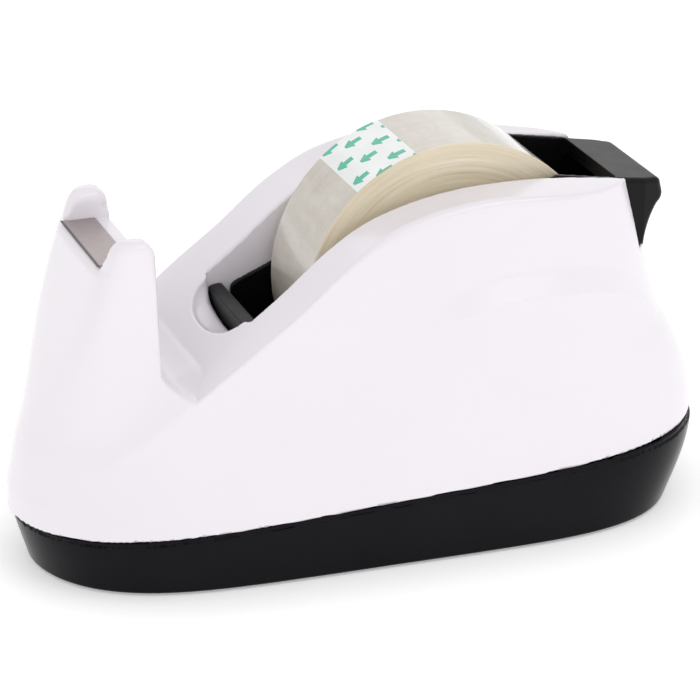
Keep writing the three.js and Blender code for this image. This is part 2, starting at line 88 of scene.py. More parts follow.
GAP = 0.3  # between mating parts
WALL = 2.6
SEAM_Z, SEAM_SLOPE = 30.8, 0.046
BODY_HALF_WIDTH, BODY_TOP_HALF_WIDTH, BODY_TOP = 60.5, 54.9, 152.0
END_POWER, SIDE_POWER = 4.46, 1.87
NOSE_FRONT_TOP, LAND_Z, NOSE_REAR, EAR_TOP = -118.4, 135.4, -97.1, 147.8
VALLEY_X, VALLEY_Z, VALLEY_RADIUS = -84.0, 98.0, 14.1
WELL_HALF, WELL_FRONT, WELL_REAR = 29.4, -56.0, 104.8
SKIRT, SKIRT_Z = 2.2, 58.0
SCOOP_HALF, SCOOP_X, SCOOP_Z = 25.2, -70.2, 92.4
SCOOP_END_POWER, SCOOP_SIDE_POWER = 2.1, 2.4
BASE_NOSE_X, BASE_TAIL_X, BASE_HALF_WIDTH = -139.9, 133.7, 56.6
REVEAL = 0.9  # how far the base's rim is set in under the seam
BOSS_RADIUS, POST_RADIUS = 5.8, 4.4
CASE_HOLE, CASE_HEAD_HOLE, SMALL_HOLE, FOOT_POCKET = 1.8, 4.0, 1.7, 7.3
CHEEK_INNER = 26.2
FLOOR_Z, BAR_X, BAR_DEPTH, CRADLE_REAR = FRAME_LOW[2], FRAME_LOW[0], 5.8, 100.7
BAR_HALF, BAR_Z = 28.0, 99.9
TAIL_FRONT, TAIL_ROOT, TAIL_WALL = 103.9, 115.0, 2.4
AXLE_SLOT = 4.35

# ---- Distance fields ------------------------------------------------------------------------------


def both(a, b, radius=0.0):
    """Where both solids are, with the edge between them rounded."""
    if np.ndim(radius) == 0 and radius == 0:
        return np.maximum(a, b)
    outside = np.hypot(np.maximum(radius + a, 0), np.maximum(radius + b, 0))
    return np.minimum(-radius, np.maximum(a, b)) + outside


def either(a, b, radius=0.0):
    """Where either solid is, with the corner between them filleted."""
    return -both(-a, -b, radius)


def without(a, b, radius=0.0):
    """The first solid with the second cut out of it."""
    return both(a, -b, radius)


def ease(value, start, end):
    """0 before start, 1 after end, and an S between them."""
    t = np.clip((value - start) / (end - start), 0, 1)
    return t * t * (3 - 2 * t)


def mix(a, b, share):
    return a + (b - a) * share


class Line:
    """A smooth line through a few [along, height] points."""

    def __init__(self, points):
        self.at, self.value = np.array(points, float).T
        self.slope = np.gradient(self.value, self.at)

    def __call__(self, x):
        i = np.clip(np.searchsorted(self.at, x) - 1, 0, len(self.at) - 2)
        span = self.at[i + 1] - self.at[i]
        t = np.clip((x - self.at[i]) / span, 0, 1)
        a, b = self.value[i], self.value[i + 1]
        da, db = self.slope[i] * span, self.slope[i + 1] * span
        return a + t * (da + t * (3 * (b - a) - 2 * da - db + t * (2 * (a - b) + da + db)))


def outline_field(points):
    """The signed distance in a plane to a closed outline of [u, v] points."""
    start = np.array(points, float)
    end = np.roll(start, -1, axis=0)

    def field(u, v):
        nearest = np.full(np.shape(u), 1e18)
        inside = np.zeros(np.shape(u), bool)
        for (u0, v0), (u1, v1) in zip(start, end):
            du, dv = u1 - u0, v1 - v0
            t = np.clip(((u - u0) * du + (v - v0) * dv) / (du * du + dv * dv), 0, 1)
            nearest = np.minimum(nearest, (u - u0 - t * du) ** 2 + (v - v0 - t * dv) ** 2)
            if v1 != v0:
                crosses = (v0 > v) != (v1 > v)
                inside ^= crosses & (u < u0 + du * (v - v0) / dv)
        return np.where(inside, -1, 1) * np.sqrt(nearest)

    return field


def curve(start, control, end, steps=8):
    """Points along a quadratic curve, without its last one."""
    t = np.arange(steps)[:, None] / steps
    start, control, end = (np.array(p, float) for p in (start, control, end))
    return ((1 - t) ** 2 * start + 2 * t * (1 - t) * control + t * t * end).tolist()


def slab(value, low, high):
    return np.maximum(low - value, value - high)


def plan_field(x, y, nose_x, tail_x, half_width, flare, end_power, side_power):
    """The distance to a superellipse in plan, near its edge."""
    half = (tail_x - nose_x) / 2
    along = (x - (nose_x + tail_x) / 2) / half
    wide = half_width + flare * np.clip(along, -1, 1)
    a, b = np.abs(along), np.abs(y) / wide
    level = a**end_power + b**side_power - 1
    rise_a = end_power * a ** (end_power - 1) / half
    rise_b = side_power * b ** (side_power - 1) / wide
    steep = np.hypot(rise_a, rise_b)
    return np.clip(level / np.maximum(steep, 1e-4), -30, 60)


# ---- The white shell ------------------------------------------------------------------------------

TOP_LINE = Line(
    [
        [-165, 28], [-136, 46], [-108, 66], [-84, 85.5], [-60, 103.9], [-43, 116.4], [-26, 130],
        [-9.5, 140.6], [9.5, 147.3], [30, 151], [55, BODY_TOP], [95, 148.6], [130, 142.5],
    ]
)
CREST_FALL = Line(
    [
        [-40, 0], [-16, -1.2], [0, -2.6], [20, -2.4], [43, -1.0],
        [55, 0.5], [66, 1.8], [83, 3.6], [110, 6.5], [130, 8],
    ]
)
HIP_LINE = Line(
    [
        [0, 99], [18, 104.3], [30, 107], [46, 109.9], [62, 110.1],
        [73, 109.1], [84, 107.3], [101, 101.7], [112, 95], [127, 84],
    ]
)
REAR_LINE = Line(
    [[20, 149], [48, 148.3], [65, 143.3], [75, 138.4], [85, 133], [98, 128.7], [118, 124.8], [145, 117.6]]
)


def seam_z(x):
    return SEAM_Z + SEAM_SLOPE * x


def front_x(z):
    share = np.maximum(0, (z - 34) / (LAND_Z - 34)) ** 1.1
    foot = 1.5 * np.clip(1 - share / 0.55, 0, 1) * ease(share, 0, 0.2)
    return NOSE_X + (NOSE_FRONT_TOP - NOSE_X) * share - foot


def rear_x(z):
    """The lower half bulges and the upper half is drawn in. The line holds for the CAD's own length."""
    return REAR_LINE(z) - 149 + TAIL_X


def hip(x, z):
    """The rear flank stands proud up to a crease, with a ledge above it that leads in to the upper flank."""
    above = np.clip((z - HIP_LINE(x)) / 10.5, 0, 1.15)
    inwards = above - np.maximum(0, above - 0.85) ** 2 / 0.6
    return ease(x, -5, 45) * (1.6 * ease(z, 50, 90) - 3.4 * inwards)


def flank_field(x, y, z):
    taper = (z - SEAM_Z) / (BODY_TOP - SEAM_Z)
    half_width = mix(BODY_HALF_WIDTH, BODY_TOP_HALF_WIDTH, taper * (2 - taper)) + hip(x, z)
    flare = 2.6 * (1 - ease(z, 40, 110))
    return plan_field(x, y, front_x(z), rear_x(z), half_width, flare, END_POWER, SIDE_POWER)


def top_field(x, y, z):
    """Below the top line. The ramp is dished, and the strips beside the well turn down towards the tail."""
    slope = TOP_LINE(x + 0.5) - TOP_LINE(x - 0.5)
    outwards = np.clip((np.abs(y) - WELL_HALF) / 25.6, 0, 1.2)
    depth = 1.6 * (1 - ease(x, -60, -15)) + 1.4 * (1 - ease(x, -88, -66))
    dish = depth * np.maximum(0, 1 - (y / 55) ** 2)
    return (z - TOP_LINE(x) + CREST_FALL(x) * outwards**2 + dish) / np.hypot(1, slope)


def nose_field(x, y, z):
    """The nose grows out of the flank: above the crease its sides draw in towards the ears."""
    flank = flank_field(x, y, z)
    drop = np.clip((150 - z) / 65, 0, 1.5)
    square = ease(z, 60, 138)
    end_power, side_power = mix(END_POWER, 12, square), mix(2, 8, square)
    column = plan_field(x, y, front_x(z), -120 - front_x(z), 39 + 3 * drop**1.5, 0, end_power, side_power)
    height = z - TOP_LINE(x)
    risen = (height + np.sqrt(height**2 + 1)) / 2
    sides = mix(flank, column, 1 - np.exp(-risen / 18))
    lean = np.where(z > LAND_Z, 0.28, 1.0)
    brow = (x - NOSE_FRONT_TOP) * -0.96 + (z - LAND_Z) * lean
    upright = both(x - NOSE_REAR, both(z - EAR_TOP, brow, 7), 6.5)
    hollow = VALLEY_RADIUS - np.hypot(x - VALLEY_X, z - VALLEY_Z)
    corner = np.where(x < VALLEY_X, hollow, z - VALLEY_Z + VALLEY_RADIUS)
    fillet = np.maximum(np.maximum(corner, z - VALLEY_Z), x - VALLEY_X - 8)
    return both(sides, np.minimum(upright, fillet), mix(2.2, 4.2, ease(z, 125, 140)))


def land_field(x, y, z):
    """The room between the ears, above the land that the blade lies on."""
    return np.maximum(np.maximum(np.abs(y) - BLADE_HIGH[1] - GAP, LAND_Z - 0.1 - z), x + 85)


def well_field(x, y, grow=0.0):
    """The reel's well, in plan: straight sides and a square front."""
    return np.maximum(both(np.abs(y) - WELL_HALF - grow, WELL_FRONT - grow - x, 1), x - WELL_REAR - grow)


def scoop_field(x, y, z):
    """The finger scoop in front of the well: a bowed plan with a dished floor."""
    depth = WELL_FRONT - SCOOP_X
    a, b = np.maximum(WELL_FRONT - x, 0) / depth, np.abs(y) / SCOOP_HALF
    steep = np.hypot(
        SCOOP_END_POWER * a ** (SCOOP_END_POWER - 1) / depth,
        SCOOP_SIDE_POWER * b ** (SCOOP_SIDE_POWER - 1) / SCOOP_HALF,
    )
    plan = (a**SCOOP_END_POWER + b**SCOOP_SIDE_POWER - 1) / np.maximum(steep, 0.02)
    floor = SCOOP_Z + 0.15 * (WELL_FRONT - x) + 4 * b**2
    return np.maximum(both(plan, floor - z, 5), x - WELL_FRONT - 4)


def shell_field(x, y, z):
    """The white shell: body and nose in one, with the well, scoop, tail notch and land cut into it."""
    crest_radius = 1.1 + 3.6 * ease(x, -30, 5) * (1 - ease(x, 25, 90))
    body = both(flank_field(x, y, z), top_field(x, y, z), crest_radius)
    in_valley = ease(x, -98, -93) * (1 - ease(x, -80, -72)) * (1 - ease(np.abs(y), 26, 50))
    outer = either(body, nose_field(x, y, z), 0.01 + 8 * in_valley)
    scoop = scoop_field(x, y, z)
    skirt = np.maximum(well_field(x, y, SKIRT), SKIRT_Z - z)
    land = land_field(x, y, z)
    hollow = np.maximum(without(outer, np.minimum(scoop, land)) + WALL, -skirt)
    hollow = np.where(x < -90, np.maximum(hollow, z - LAND_Z + 2 * WALL), hollow)
    notch = np.maximum(np.maximum(np.abs(y) - CHEEK_OUTER - GAP, TAIL_ROOT - GAP - z), 94.8 - x)
    shell = without(outer, either(well_field(x, y), scoop, 3), 1.1)
    shell = without(shell, hollow)
    shell = without(shell, notch, 0.8)
    shell = without(shell, land, mix(0.8, 4.6, ease(z, 136.2, 141)))
    return both(shell, seam_z(x) + GAP / 2 - z, 0.5)


# ---- The black base -------------------------------------------------------------------------------


def base_plan(x, y, z):
    """The base's outline, which grows upwards until it meets the shell's."""
    up = ease(z, -12, 36) ** 0.8
    nose_x = mix(BASE_NOSE_X, NOSE_X, up)
    tail_x = mix(BASE_TAIL_X, TAIL_X, up)
    half_width = mix(BASE_HALF_WIDTH, BODY_HALF_WIDTH, up)
    return plan_field(x, y, nose_x, tail_x, half_width, mix(4.1, 2.6, up), 5, 1.9)


def column_field(x, y, places, radius):
    """A set of upright columns, or of holes when it is cut away."""
    return np.minimum.reduce([np.hypot(x - px, y - py) for px, py in places]) - radius


def centres(name, count):
    """The [x, y] of each of a set of numbered upright nodes."""
    boxes = [box_mm(f"{name}_{i + 1}") for i in range(count)]
    return [tuple((low + high)[:2] / 2) for low, high in boxes]


CASE_SCREWS = centres("case_screw", 4)
FEET = centres("rubber_foot", 4)
FRAME_SCREWS = centres("frame_screw", 4)
BALLAST_SCREWS = centres("ballast_screw", 4)


def base_field(x, y, z):
    """The open-topped base, with bosses and holes for the screws and pockets for the feet."""
    plan = base_plan(x, y, z)
    bottom = BASE_LOW[2]
    outer = both(plan + REVEAL * ease(z - seam_z(x), -2.3, -2.0), bottom - z, 1.2)
    pads = np.maximum(column_field(x, y, BALLAST_SCREWS, POST_RADIUS), z - 5.7)
    posts = np.minimum(column_field(x, y, FRAME_SCREWS, POST_RADIUS), pads)
    bosses = np.minimum(column_field(x, y, CASE_SCREWS, BOSS_RADIUS), posts)
    hollow = np.maximum(np.maximum(plan + WALL, bottom + WALL - z), -bosses)
    holes = np.minimum(
        column_field(x, y, CASE_SCREWS, CASE_HOLE),
        np.maximum(column_field(x, y, CASE_SCREWS, CASE_HEAD_HOLE), z - 9),
    )
    holes = np.minimum(holes, np.maximum(column_field(x, y, FRAME_SCREWS, SMALL_HOLE), 20 - z))
    pockets = np.maximum(column_field(x, y, FEET, FOOT_POCKET), z - 2.3)
    made = without(without(outer, hollow), holes, 0.3)
    made = without(made, pockets, 0.2)
    return both(made, z - seam_z(x) + GAP / 2, 0.5)


# ---- The black cradle -----------------------------------------------------------------------------

CHEEK = outline_field(
    [
        [BAR_X + 1, FLOOR_Z], [BAR_X + 1, 91], [-46, 91],
        *curve([-46, 97], [-46, 99.6], [-43.4, 100.7]),
        [-43.4, 100.7], [77, 151], [TAIL_FRONT, 146.4], [TAIL_FRONT, FLOOR_Z],
    ]
)
TAIL = outline_field(
    [
        [CRADLE_REAR, 146.9], [TAIL_FRONT, 146.4],
        *curve([123, 143.4], [125.1, 142.9], [125.7, 141], 4),
        *curve([126.6, 137], [127.2, 133.8], [124.2, 132]),
        *curve([124.2, 132], [119.4, 126], [117.6, 116]),
        [117.6, TAIL_ROOT], [CRADLE_REAR, TAIL_ROOT],
    ]
)


def cradle_field(x, y, z):
    """The cradle: a channel with two cheeks, a cross bar in front and the thumb tail behind."""
    channel = both(CHEEK(x, z), np.abs(y) - CHEEK_OUTER, 0.5)
    rear = mix(CRADLE_REAR, TAIL_FRONT, ease(z, 117, 119))
    inside = np.maximum(
        np.maximum(np.abs(y) - CHEEK_INNER, FLOOR_Z + WALL - z),
        np.maximum(BAR_X + BAR_DEPTH - x, x - rear),
    )
    channel = without(channel, inside, 0.4)
    lip = 0.9 * (x - BAR_X) / BAR_DEPTH
    bar = both(slab(x, BAR_X, BAR_X + BAR_DEPTH), np.maximum(z - BAR_Z - lip, FLOOR_Z - z), 0.5)
    bar = both(bar, np.abs(y) - BAR_HALF, 0.3)
    drawn_in = np.maximum(0, x - CRADLE_REAR) * 0.075 + np.maximum(0, x - 117) * 0.25
    side = np.abs(y) - CHEEK_OUTER + drawn_in
    tail = both(TAIL(x, z), side, 2.2)
    tail_hollow = np.maximum(TAIL(x, z) + TAIL_WALL, np.maximum(side + TAIL_WALL, z - 140))
    tail = without(tail, tail_hollow)
    tail = np.maximum(tail, TAIL_FRONT - x - 3 * (z < 118))
    made = np.minimum(np.minimum(channel, bar), tail)
    slot = np.where(z > REEL_Z, np.abs(x - REEL_X), np.hypot(x - REEL_X, z - REEL_Z)) - AXLE_SLOT
    made = without(made, np.maximum(slot, x - 60), 0.5)
    return without(made, column_field(x, y, FRAME_SCREWS, SMALL_HOLE))


# ---- Small parts ----------------------------------------------------------------------------------


def hub_field(x, y, z):
    """The half hub on the +Y side, about the reel's axis: rim, web with six windows, ribs and boss."""
    radius, rim = np.hypot(x, z), CORE_BORE - GAP
    end = TAPE_HALF + 1
    solid = both(both(radius - rim, y - end, 1.0), 0.2 - y, 0.3)
    hollow_out = np.maximum(slab(radius, 9, rim - 3), 10.4 - y)
    hollow_in = np.maximum(slab(radius, 9, rim - 3), y - 8)
    angle = (np.arctan2(z, x) + math.pi / 6) % (math.pi / 3) - math.pi / 6
    window = np.hypot(radius * np.cos(angle) - 21.5, radius * np.sin(angle)) - 7
    turn = (np.arctan2(z, x) + math.pi / 3) % (math.pi / 3) - math.pi / 6
    rib = np.abs(radius * np.sin(turn)) - 0.9
    hollow = np.maximum(np.minimum(hollow_out, hollow_in), -np.maximum(rib, slab(y, 2.5, end - 6)))
    made = without(without(solid, hollow, 0.4), window, 0.4)
    return without(made, radius - 4.25, 0.4)


def screw_field(head_radius, head_height, shank_radius, length):
    """A cross-head screw pointing down from z = 0, with a rolled thread."""

    def field(x, y, z):
        radius = np.hypot(x, y)
        dome = np.hypot(radius, z + head_radius * 1.6 - head_height) - head_radius * 1.6
        head = both(both(radius - head_radius, dome, 0.3), -z, 0.15)
        pitch = shank_radius * 0.8
        phase = (z / pitch - np.arctan2(y, x) / (2 * math.pi)) % 1
        crest = 0.22 * np.abs(2 * phase - 1) * ease(-z, 1.5, 3)
        shank = np.maximum(radius - shank_radius + crest, slab(z, -length, 0.4))
        point = radius - (length + z) * 0.9 - 0.3
        shank = np.maximum(shank, point)
        depth = head_height * 0.45 - z
        arm, blade = head_radius * 0.6, head_radius * 0.14
        cross = np.minimum(
            np.maximum(np.abs(x) - arm, np.abs(y) - blade), np.maximum(np.abs(y) - arm, np.abs(x) - blade)
        )
        cross = np.maximum(cross + 0.25 * np.maximum(head_height - z, 0), depth)
        return without(np.minimum(head, shank), cross, 0.12)

    return field


def ballast_field(half_length, half_width, half_height):
    def field(x, y, z):
        box = both(both(np.abs(x) - half_length, np.abs(y) - half_width, 2.5), np.abs(z) - half_height, 1.2)
        skin = 0.12 * np.sin(x * 1.7 + 2 * np.sin(y * 0.9)) * np.sin(y * 1.5) * np.sin(z + x * 0.6)
        return box + 0.12 + skin

    return field


# ---- Meshing --------------------------------------------------------------------------------------

BLOCK = 8  # samples along the side of one block of the grid


def gradient(field, points, reach=0.03):
    slopes = []
    for axis in range(3):
        ahead, behind = points.copy(), points.copy()
        ahead[:, axis] += reach
        behind[:, axis] -= reach
        slopes.append((field(*ahead.T) - field(*behind.T)) / (2 * reach))
    return np.stack(slopes, 1)


def sample(field, low, high, step):
    """The field on a grid. Only the blocks near the surface are worked out in full."""
    size = BLOCK * step
    count = np.ceil((high - low) / size).astype(int)
    middle = [low[i] + size * (np.arange(count[i]) + 0.5) for i in range(3)]
    coarse = field(*np.meshgrid(*middle, indexing="ij"))
    filled = (np.sign(coarse) * size).astype(np.float32)
    values = filled.repeat(BLOCK, 0).repeat(BLOCK, 1).repeat(BLOCK, 2)
    offset = (np.arange(BLOCK) + 0.5) * step
    near = np.argwhere(np.abs(coarse) < 1.5 * size)
    for some in np.array_split(near, max(1, len(near) // 1500)):
        corner = low + some * size
        x = corner[:, 0, None, None, None] + offset[:, None, None]
        y = corner[:, 1, None, None, None] + offset[:, None]
        z = corner[:, 2, None, None, None] + offset
        fine = field(*np.broadcast_arrays(x, y, z))
        for (i, j, k), block in zip(some * BLOCK, fine):
            values[i : i + BLOCK, j : j + BLOCK, k : k + BLOCK] = block
    return values


def new_object(name, mesh):
    made = bpy.data.objects.new(name, mesh)
    bpy.context.scene.collection.objects.link(made)
    return made


def moulded(name, field, low, high, step):
    """Meshes the surface where field is zero, moves its points onto it, and takes its normals from it."""
    low = np.array(low, float) - 2 * step
    high = np.array(high, float) + 2 * step
    grid = openvdb.FloatGrid()
    grid.copyFromArray(sample(field, low, high, step))
    grid.transform = openvdb.createLinearTransform(step)
    points, triangles, quads = grid.convertToPolygons(0.0, 0.0)
    points = points.astype(float) + low + step / 2
    for _ in range(3):
        slope = gradient(field, points)
        away = field(*points.T)[:, None] / np.maximum((slope**2).sum(1, keepdims=True), 0.2)
        points -= np.clip(away * slope, -0.5 * step, 0.5 * step)
    slope = gradient(field, points, 0.08)
    normals = slope / np.maximum(np.linalg.norm(slope, axis=1, keepdims=True), 1e-6)
    faces = quads[:, ::-1].tolist() + triangles[:, ::-1].tolist()
    mesh = bpy.data.meshes.new(name)
    mesh.from_pydata((points * MM).tolist(), [], faces)
    mesh.validate()
    first = mesh.polygons[0]
    if first.normal.dot(Vector(normals[first.vertices[0]])) < 0:
        mesh.flip_normals()
    mesh.shade_smooth()
    mesh.normals_split_custom_set_from_vertices(normals.tolist())
    return new_object(name, mesh)


def turned(name, profile, segments, centre, closed=True):
    """Turns a profile of [radius, along] points, in millimetres, about a line along Y through centre."""
    mesh = bmesh.new()
    rings = []
    for i in range(segments):
        angle = 2 * math.pi * i / segments
        c, s = math.cos(angle), math.sin(angle)
        ring = [(centre[0] + r * c, a, centre[1] + r * s) for r, a in profile]
        rings.append([mesh.verts.new(Vector(point) * MM) for point in ring])
    sides = len(profile) if closed else len(profile) - 1
    for i in range(segments):
        here, there = rings[i], rings[(i + 1) % segments]
        for j in range(sides):
            k = (j + 1) % len(profile)
            mesh.faces.new((here[j], here[k], there[k], there[j]))
    bmesh.ops.remove_doubles(mesh, verts=mesh.verts, dist=1e-7)
    bmesh.ops.recalc_face_normals(mesh, faces=mesh.faces)
    data = bpy.data.meshes.new(name)
    mesh.to_mesh(data)
    mesh.free()
    data.shade_smooth()
    return new_object(name, data)


def sharpen(piece, degrees=35):
    """Smooth shading that breaks at real edges."""
    limit = math.radians(degrees)
    mesh = bmesh.new()
    mesh.from_mesh(piece.data)
    for edge in mesh.edges:
        if len(edge.link_faces) == 2 and edge.calc_face_angle(0) > limit:
            edge.smooth = False
    mesh.to_mesh(piece.data)
    mesh.free()


# ---- Materials ------------------------------------------------------------------------------------


class Surface:
    """A node material with a Principled shader."""

    def __init__(self, name, color, roughness, **sockets):
        self.material = bpy.data.materials.new(name)
        self.material.use_nodes = True
        self.tree = self.material.node_tree
        self.shader = self.tree.nodes["Principled BSDF"]
        self.set("Base Color", (*color, 1))
        self.set("Roughness", roughness)
        for key, value in sockets.items():
            self.set(key.replace("_", " ").title().replace("Ior", "IOR"), value)

    def set(self, socket, value):
        self.shader.inputs[socket].default_value = value

    def node(self, kind, inputs=(), **settings):
        made = self.tree.nodes.new(kind)
        for key, value in settings.items():
            setattr(made, key, value)
        for socket, value in dict(inputs).items():
            if isinstance(value, bpy.types.NodeSocket):
                self.tree.links.new(value, made.inputs[socket])
            else:
                made.inputs[socket].default_value = value
        return made

    def link(self, source, socket):
        self.tree.links.new(source, self.shader.inputs[socket])

    def place(self):
        return self.node("ShaderNodeTexCoord").outputs["Object"]

    def math(self, operation, a, b=0.0):
        return self.node("ShaderNodeMath", {0: a, 1: b}, operation=operation).outputs[0]

    def noise(self, where, scale, detail=3.0, rough=0.5):
        inputs = {"Vector": where, "Scale": scale, "Detail": detail, "Roughness": rough}
        return self.node("ShaderNodeTexNoise", inputs).outputs["Fac"]

    def stretched(self, where, scale):
        return self.node("ShaderNodeMapping", {"Vector": where, "Scale": scale}).outputs["Vector"]

    def ramp(self, value, stops):
        """Maps a value to colours, from [(position, colour), ...]."""
        made = self.node("ShaderNodeValToRGB", {"Fac": value})
        elements = made.color_ramp.elements
        while len(elements) < len(stops):
            elements.new(0.5)
        for element, (position, color) in zip(elements, stops):
            element.position = position
            element.color = (*color, 1)
        return made.outputs["Color"]

    def paint(self, value, stops):
        """Gives the base colour a ramp."""
        self.link(self.ramp(value, stops), "Base Color")

    def stripes(self, u, v, scale_u, scale_v):
        """A place to look noise up, stretched by its own scale each way."""
        along = self.math("MULTIPLY", u, scale_u)
        across = self.math("MULTIPLY", v, scale_v)
        return self.node("ShaderNodeCombineXYZ", {"X": along, "Y": across}).outputs[0]

    def between(self, value, low, high):
        inputs = {"Value": value, "To Min": low, "To Max": high}
        return self.node("ShaderNodeMapRange", inputs).outputs["Result"]

    def bump(self, height, distance, strength=1.0):
        inputs = {"Height": height, "Distance": distance, "Strength": strength}
        self.link(self.node("ShaderNodeBump", inputs).outputs["Normal"], "Normal")


def white_plastic():
    gloss = {"coat_weight": 0.25, "coat_roughness": 0.08, "specular_ior_level": 0.45}
    made = Surface("white_abs", (0.8, 0.775, 0.81), 0.24, **gloss)
    where = made.place()
    flow = made.noise(where, 9, 4)
    made.paint(flow, [(0.3, (0.8, 0.76, 0.81)), (0.7, (0.82, 0.785, 0.83))])
    fine = made.noise(where, 1400, 2)
    made.link(made.between(made.noise(where, 60, 5), 0.2, 0.3), "Roughness")
    made.bump(fine, 0.00003, 0.35)
    return made.material


def black_plastic():
    made = Surface("black_abs", (0.004, 0.0035, 0.005), 0.2, specular_ior_level=0.1)
    where = made.place()
    smear = made.noise(where, 22, 5)
    made.paint(smear, [(0.3, (0.003, 0.0026, 0.0042)), (0.75, (0.0055, 0.0048, 0.0072))])
    made.link(made.between(made.noise(where, 70, 6), 0.14, 0.24), "Roughness")
    made.bump(made.noise(where, 1600, 2), 0.00003, 0.3)
    return made.material


def cradle_plastic():
    made = Surface("cradle_abs", (0.003, 0.003, 0.0035), 0.3, specular_ior_level=0.16)
    where = made.place()
    made.paint(made.noise(where, 40, 5), [(0.3, (0.002, 0.002, 0.0025)), (0.75, (0.005, 0.0045, 0.0055))])
    made.link(made.between(made.noise(where, 110, 6), 0.26, 0.4), "Roughness")
    made.bump(made.noise(where, 2200, 3), 0.00005, 0.5)
    return made.material


def brushed(name, color, scale, roughness, turned_about_y=False):
    """Metal with fine lines: scale is large across the lines and small along them."""
    made = Surface(name, color, roughness, metallic=1.0)
    where = made.place()
    lines = made.noise(made.stretched(where, scale), 1, 4, 0.7)
    dark = tuple(c * 0.72 for c in color)
    made.paint(lines, [(0.25, dark), (0.75, color)])
    made.link(made.between(lines, roughness * 0.8, roughness * 1.3), "Roughness")
    made.bump(lines, 0.00002, 0.5)
    return made.material


def cutter_steel():
    """Bright plate with a faint grain, and darker where the teeth are ground."""
    made = Surface("blade_steel", (0.72, 0.65, 0.65), 0.4, metallic=1.0)
    where = made.place()
    along = made.node("ShaderNodeSeparateXYZ", {"Vector": where}).outputs["X"]
    edge = {"Value": along, "From Min": -0.1178, "From Max": -0.1168}
    bright = made.node("ShaderNodeMapRange", edge).outputs["Result"]
    grain = made.noise(made.stretched(where, (300, 2600, 300)), 1, 5, 0.7)
    tone = made.math("MULTIPLY", bright, made.math("ADD", made.math("MULTIPLY", grain, 0.6), 0.4))
    stops = [
        (0.0, (0.1, 0.09, 0.09)), (0.4, (0.22, 0.2, 0.2)),
        (0.6, (0.4, 0.35, 0.35)), (0.85, (0.54, 0.475, 0.475)),
    ]
    made.paint(tone, stops)
    made.link(made.between(grain, 0.34, 0.5), "Roughness")
    made.bump(grain, 0.00003, 0.5)
    return made.material


def cast_iron():
    made = Surface("ballast_iron", (0.07, 0.068, 0.066), 0.7, metallic=0.8)
    where = made.place()
    made.paint(made.noise(where, 260, 8, 0.7), [(0.3, (0.045, 0.043, 0.042)), (0.7, (0.11, 0.1, 0.095))])
    made.bump(made.noise(where, 700, 6, 0.7), 0.0003, 0.7)
    return made.material


def rubber():
    made = Surface("foot_rubber", (0.02, 0.02, 0.021), 0.85)
    where = made.place()
    made.link(made.between(made.noise(where, 900, 3), 0.75, 0.95), "Roughness")
    made.bump(made.noise(where, 2500, 4), 0.00008, 0.8)
    return made.material


def hub_plastic():
    made = Surface("hub_plastic", (0.72, 0.71, 0.72), 0.4)
    where = made.place()
    made.paint(made.noise(where, 30, 4), [(0.3, (0.69, 0.68, 0.69)), (0.7, (0.75, 0.74, 0.75))])
    made.bump(made.noise(where, 1500, 3), 0.00005, 0.5)
    return made.material


def reel_place(made):
    """The radius and the angle about the reel's axis, the place along it, and the place itself."""
    where = made.place()
    split = made.node("ShaderNodeSeparateXYZ", {"Vector": where})
    x = made.math("SUBTRACT", split.outputs["X"], REEL_X * MM)
    z = made.math("SUBTRACT", split.outputs["Z"], REEL_Z * MM)
    squares = made.math("ADD", made.math("MULTIPLY", x, x), made.math("MULTIPLY", z, z))
    angle = made.math("ARCTAN2", z, x)
    return made.math("SQRT", squares), angle, split.outputs["Y"], where


def film_side():
    """The cut edges of the wound film: thousands of layers, seen as uneven concentric streaks."""
    made = Surface("tape_side", (0.6, 0.55, 0.38), 0.33, coat_weight=0.15, coat_roughness=0.2)
    radius, angle, _, _ = reel_place(made)
    fine = made.noise(made.stripes(radius, angle, 2600, 1.6), 1, 4, 0.6)
    broad = made.noise(made.stripes(radius, angle, 420, 1.1), 1, 3)
    streak = made.math("ADD", made.math("MULTIPLY", fine, 0.55), made.math("MULTIPLY", broad, 0.45))
    stops = [(0.3, (0.58, 0.5, 0.34)), (0.5, (0.77, 0.68, 0.51)), (0.7, (0.85, 0.78, 0.63))]
    made.paint(streak, stops)
    made.link(made.between(fine, 0.25, 0.45), "Roughness")
    made.bump(fine, 0.00015, 0.5)
    return made.material


def film_face():
    """The outside of the roll: clear film over many layers, with faint lines along and across it."""
    made = Surface("tape_face", (0.6, 0.55, 0.47), 0.16, coat_weight=0.6, coat_roughness=0.05)
    _, angle, across, _ = reel_place(made)
    cloud = made.noise(made.stripes(angle, across, 9, 60), 1, 4, 0.6)
    lines = made.noise(made.stripes(angle, across, 0.7, 900), 1, 3)
    tone = made.math("ADD", made.math("MULTIPLY", cloud, 0.65), made.math("MULTIPLY", lines, 0.35))
    stops = [(0.3, (0.5, 0.455, 0.39)), (0.55, (0.6, 0.555, 0.49)), (0.75, (0.68, 0.64, 0.59))]
    made.paint(tone, stops)
    made.link(made.between(cloud, 0.12, 0.26), "Roughness")
    made.bump(made.math("ADD", cloud, made.math("MULTIPLY", lines, 0.3)), 0.0003, 0.4)
    return made.material


def core_board():
    made = Surface("core_board", (0.42, 0.31, 0.18), 0.9)
    _, angle, across, where = reel_place(made)
    spiral = made.math("ADD", made.math("MULTIPLY", across, 60), angle)
    wrap = made.node("ShaderNodeCombineXYZ", {"X": spiral, "Y": made.math("MULTIPLY", across, 500)})
    made.paint(made.noise(wrap.outputs[0], 2, 6, 0.7), [(0.3, (0.3, 0.21, 0.12)), (0.7, (0.48, 0.37, 0.23))])
    made.bump(made.noise(where, 900, 6, 0.7), 0.0002, 0.6)
    return made.material


